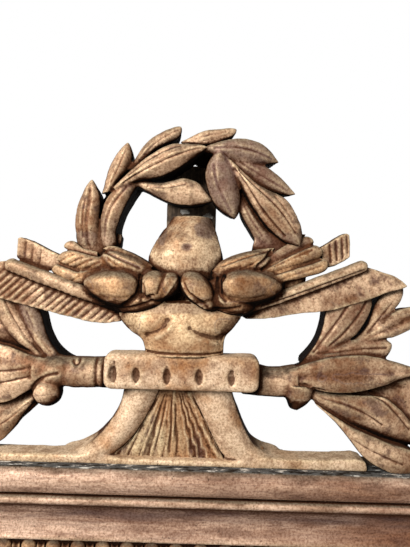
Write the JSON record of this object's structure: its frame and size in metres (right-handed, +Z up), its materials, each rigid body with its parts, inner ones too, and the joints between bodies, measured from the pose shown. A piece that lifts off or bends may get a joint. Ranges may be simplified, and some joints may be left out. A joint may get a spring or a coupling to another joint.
{
  "type": "wall mirror",
  "caption": "Upright giltwood wall mirror with moulded pearl-edged frame and pierced carved crest of laurel wreath, urn, doves, arrows and sprays; boarded back held by turn buttons.",
  "frame": {"origin": "centre of the bottom rail's flat back face", "axes": "+Z up, +Y towards the wall, +X to the right seen from the front"},
  "size_m": [0.45, 0.0564, 0.8506],
  "materials": {
    "gilt_limewood": "worn bronze gilding over gesso on carved limewood",
    "bare_softwood": "aged unfinished softwood",
    "silvered_glass": "silvered behind clear glass",
    "old_brass": "dulled sheet brass",
    "dark_iron": "dark oxidised iron"
  },
  "bodies": {
    "mirror": {"top_rail": "gilt_limewood", "bottom_rail": "gilt_limewood", "left_stile": "gilt_limewood", "right_stile": "gilt_limewood", "corner_keys": "bare_softwood", "bead_strip_top": "gilt_limewood", "bead_strip_bottom": "gilt_limewood", "bead_strip_left": "gilt_limewood", "bead_strip_right": "gilt_limewood", "mirror_plate": "silvered_glass", "glass_blocks": "bare_softwood", "backboard_upper": "bare_softwood", "backboard_middle": "bare_softwood", "backboard_lower": "bare_softwood", "turn_button_screws": "dark_iron", "left_hanger_strap": "old_brass", "right_hanger_strap": "old_brass", "hanger_screws": "dark_iron", "crest_batten": "bare_softwood", "batten_screws": "dark_iron", "crest_dowels": "bare_softwood", "crest_plinth": "gilt_limewood", "crest_apron": "gilt_limewood", "binding_band": "gilt_limewood", "bowl": "gilt_limewood", "urn": "gilt_limewood", "left_arrow": "gilt_limewood", "right_arrow": "gilt_limewood", "left_dove": "gilt_limewood", "right_dove": "gilt_limewood", "wreath_left_branch": "gilt_limewood", "wreath_right_branch": "gilt_limewood", "left_laurel_spray": "gilt_limewood", "right_laurel_spray": "gilt_limewood"},
    "turn_button_left_upper": {"turn_button_left_upper": "old_brass"},
    "turn_button_left_middle": {"turn_button_left_middle": "old_brass"},
    "turn_button_left_lower": {"turn_button_left_lower": "old_brass"},
    "turn_button_right_upper": {"turn_button_right_upper": "old_brass"},
    "turn_button_right_middle": {"turn_button_right_middle": "old_brass"},
    "turn_button_right_lower": {"turn_button_right_lower": "old_brass"},
    "left_hanging_ring": {"left_hanging_ring": "dark_iron"},
    "right_hanging_ring": {"right_hanging_ring": "dark_iron"}
  },
  "joints": [
    {"name": "turn_button_left_upper_turn", "type": "hinge", "parent": "mirror", "child": "turn_button_left_upper", "pos_m": [-0.185, 0.0013, 0.48867], "axis": [0, 1, 0], "range_deg": [0, 90]},
    {"name": "turn_button_left_middle_turn", "type": "hinge", "parent": "mirror", "child": "turn_button_left_middle", "pos_m": [-0.185, 0.0013, 0.304], "axis": [0, 1, 0], "range_deg": [0, 90]},
    {"name": "turn_button_left_lower_turn", "type": "hinge", "parent": "mirror", "child": "turn_button_left_lower", "pos_m": [-0.185, 0.0013, 0.11933], "axis": [0, 1, 0], "range_deg": [0, 90]},
    {"name": "turn_button_right_upper_turn", "type": "hinge", "parent": "mirror", "child": "turn_button_right_upper", "pos_m": [0.185, 0.0013, 0.48867], "axis": [0, -1, 0], "range_deg": [0, 90]},
    {"name": "turn_button_right_middle_turn", "type": "hinge", "parent": "mirror", "child": "turn_button_right_middle", "pos_m": [0.185, 0.0013, 0.304], "axis": [0, -1, 0], "range_deg": [0, 90]},
    {"name": "turn_button_right_lower_turn", "type": "hinge", "parent": "mirror", "child": "turn_button_right_lower", "pos_m": [0.185, 0.0013, 0.11933], "axis": [0, -1, 0], "range_deg": [0, 90]},
    {"name": "left_hanging_ring_swing", "type": "hinge", "parent": "mirror", "child": "left_hanging_ring", "pos_m": [-0.199, 0.00376, 0.534], "axis": [1, 0, 0], "range_deg": [0, 175]},
    {"name": "right_hanging_ring_swing", "type": "hinge", "parent": "mirror", "child": "right_hanging_ring", "pos_m": [0.199, 0.00376, 0.534], "axis": [1, 0, 0], "range_deg": [0, 175]}
  ]
}
